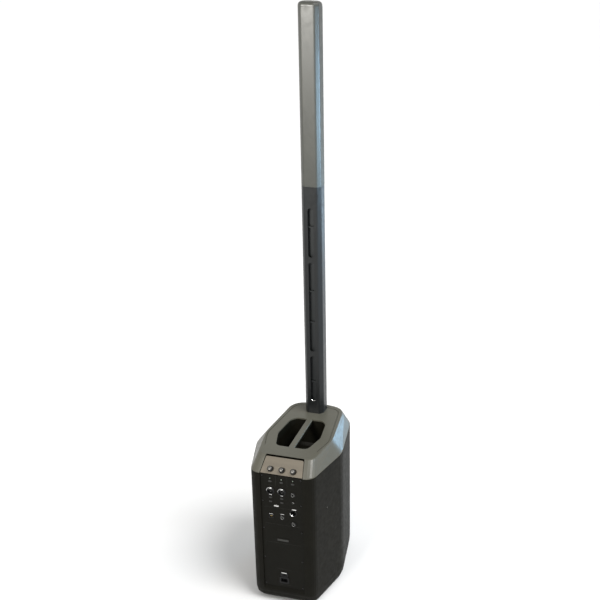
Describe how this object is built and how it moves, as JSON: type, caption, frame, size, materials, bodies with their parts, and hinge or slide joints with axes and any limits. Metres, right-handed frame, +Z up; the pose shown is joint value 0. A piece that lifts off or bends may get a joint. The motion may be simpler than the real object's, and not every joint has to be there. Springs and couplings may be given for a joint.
{
  "type": "column pa system",
  "caption": "Portable powered speaker: bass cabinet with rear mixer panel and top handle, carrying a slim plug-in column with a line array of small drivers.",
  "frame": {"origin": "on the floor, under the centre of the whole object's box", "axes": "+Z up; +Y towards the control panel at the rear; -Y towards the listeners; +X is on the left of someone who faces the control panel"},
  "size_m": [0.3086, 0.4405, 2],
  "materials": {
    "satin_black": "satin textured",
    "slate_grey": "satin",
    "warm_grey": "satin",
    "panel_black": "satin powder coat",
    "socket_black": "satin",
    "grille_black": "satin, perforated",
    "column_charcoal": "satin",
    "array_grey": "satin",
    "rubber_black": "matt",
    "cone_black": "matt",
    "bright_metal": "bright",
    "magnet_grey": "matt",
    "basket_black": "satin",
    "knob_black": "satin",
    "button_grey": "satin",
    "clear_plastic": "clear",
    "board_green": "satin",
    "heatsink_metal": "satin"
  },
  "bodies": {
    "base": {"cabinet_shell": "satin_black", "top_cap": "slate_grey", "handle_grip": "satin_black", "handle_cup": "satin_black", "column_socket": "satin_black", "knob_plate": "warm_grey", "encoder_board": "board_green", "control_panel": "panel_black", "front_grille": "grille_black", "front_baffle": "satin_black", "reflex_port": "satin_black", "woofer_basket": "basket_black", "woofer_cone": "cone_black", "woofer_surround": "rubber_black", "woofer_magnet": "magnet_grey", "amplifier_board": "board_green", "power_supply": "heatsink_metal", "combo_jack_1": "bright_metal", "combo_jack_2": "bright_metal", "line_jack": "bright_metal", "aux_jack": "bright_metal", "monitor_jack": "bright_metal", "foot_switch_jack": "bright_metal", "xlr_output": "socket_black", "mixer_port": "socket_black", "power_inlet": "socket_black", "switch_frame": "socket_black", "badge": "bright_metal", "light_pipe_1": "clear_plastic", "light_pipe_2": "clear_plastic", "light_pipe_3": "clear_plastic", "foot_rear_right": "rubber_black", "foot_rear_left": "rubber_black", "foot_front_right": "rubber_black", "foot_front_left": "rubber_black"},
    "extension": {"extension_shell": "column_charcoal", "cable_channel": "column_charcoal", "extension_plug": "satin_black", "extension_socket": "satin_black"},
    "array": {"array_body": "array_grey", "array_grille": "grille_black", "array_plug": "satin_black", "array_cap": "array_grey", "driver_panel": "cone_black"},
    "shaft_1": {"encoder_shaft_1": "bright_metal"},
    "knob_1": {"channel_knob_1": "knob_black"},
    "shaft_2": {"encoder_shaft_2": "bright_metal"},
    "knob_2": {"channel_knob_2": "knob_black"},
    "shaft_3": {"encoder_shaft_3": "bright_metal"},
    "knob_3": {"channel_knob_3": "knob_black"},
    "mute_button_1_body": {"mute_button_1": "button_grey"},
    "mute_button_2_body": {"mute_button_2": "button_grey"},
    "mute_button_3_body": {"mute_button_3": "button_grey"},
    "tone_button_1_body": {"tone_button_1": "button_grey"},
    "tone_button_2_body": {"tone_button_2": "button_grey"},
    "reverb_button_1_body": {"reverb_button_1": "button_grey"},
    "reverb_button_2_body": {"reverb_button_2": "button_grey"},
    "phantom_button_body": {"phantom_button": "button_grey"},
    "rocker": {"power_switch": "socket_black"}
  },
  "joints": [
    {"name": "extension_lift", "type": "slide", "parent": "base", "child": "extension", "axis": [0, 0, 1], "range_m": [0, 0.07]},
    {"name": "array_lift", "type": "slide", "parent": "extension", "child": "array", "axis": [0, 0, 1], "range_m": [0, 0.055]},
    {"name": "channel_press_1", "type": "slide", "parent": "base", "child": "shaft_1", "axis": [0, -0.7071, -0.7071], "range_m": [0, 0.0008], "stiffness_N_per_m": 500, "springref_m": -0.0008},
    {"name": "channel_turn_1", "type": "hinge", "parent": "shaft_1", "child": "knob_1", "pos_m": [0.0398, 0.20604, 0.54046], "axis": [0, 0.7071, 0.7071], "continuous": true},
    {"name": "channel_press_2", "type": "slide", "parent": "base", "child": "shaft_2", "axis": [0, -0.7071, -0.7071], "range_m": [0, 0.0008], "stiffness_N_per_m": 500, "springref_m": -0.0008},
    {"name": "channel_turn_2", "type": "hinge", "parent": "shaft_2", "child": "knob_2", "pos_m": [0, 0.20604, 0.54046], "axis": [0, 0.7071, 0.7071], "continuous": true},
    {"name": "channel_press_3", "type": "slide", "parent": "base", "child": "shaft_3", "axis": [0, -0.7071, -0.7071], "range_m": [0, 0.0008], "stiffness_N_per_m": 500, "springref_m": -0.0008},
    {"name": "channel_turn_3", "type": "hinge", "parent": "shaft_3", "child": "knob_3", "pos_m": [-0.0398, 0.20604, 0.54046], "axis": [0, 0.7071, 0.7071], "continuous": true},
    {"name": "mute_press_1", "type": "slide", "parent": "base", "child": "mute_button_1_body", "axis": [0, -1, 0], "range_m": [0, 0.0008], "stiffness_N_per_m": 300, "springref_m": -0.0008},
    {"name": "mute_press_2", "type": "slide", "parent": "base", "child": "mute_button_2_body", "axis": [0, -1, 0], "range_m": [0, 0.0008], "stiffness_N_per_m": 300, "springref_m": -0.0008},
    {"name": "mute_press_3", "type": "slide", "parent": "base", "child": "mute_button_3_body", "axis": [0, -1, 0], "range_m": [0, 0.0008], "stiffness_N_per_m": 300, "springref_m": -0.0008},
    {"name": "tone_press_1", "type": "slide", "parent": "base", "child": "tone_button_1_body", "axis": [0, -1, 0], "range_m": [0, 0.0008], "stiffness_N_per_m": 300, "springref_m": -0.0008},
    {"name": "tone_press_2", "type": "slide", "parent": "base", "child": "tone_button_2_body", "axis": [0, -1, 0], "range_m": [0, 0.0008], "stiffness_N_per_m": 300, "springref_m": -0.0008},
    {"name": "reverb_press_1", "type": "slide", "parent": "base", "child": "reverb_button_1_body", "axis": [0, -1, 0], "range_m": [0, 0.0008], "stiffness_N_per_m": 300, "springref_m": -0.0008},
    {"name": "reverb_press_2", "type": "slide", "parent": "base", "child": "reverb_button_2_body", "axis": [0, -1, 0], "range_m": [0, 0.0008], "stiffness_N_per_m": 300, "springref_m": -0.0008},
    {"name": "phantom_press", "type": "slide", "parent": "base", "child": "phantom_button_body", "axis": [0, -1, 0], "range_m": [0, 0.0008], "stiffness_N_per_m": 300, "springref_m": -0.0008},
    {"name": "power_rocker", "type": "hinge", "parent": "base", "child": "rocker", "pos_m": [0, 0.2145, 0.124], "axis": [0, 0, -1], "range_deg": [0, 14]}
  ]
}
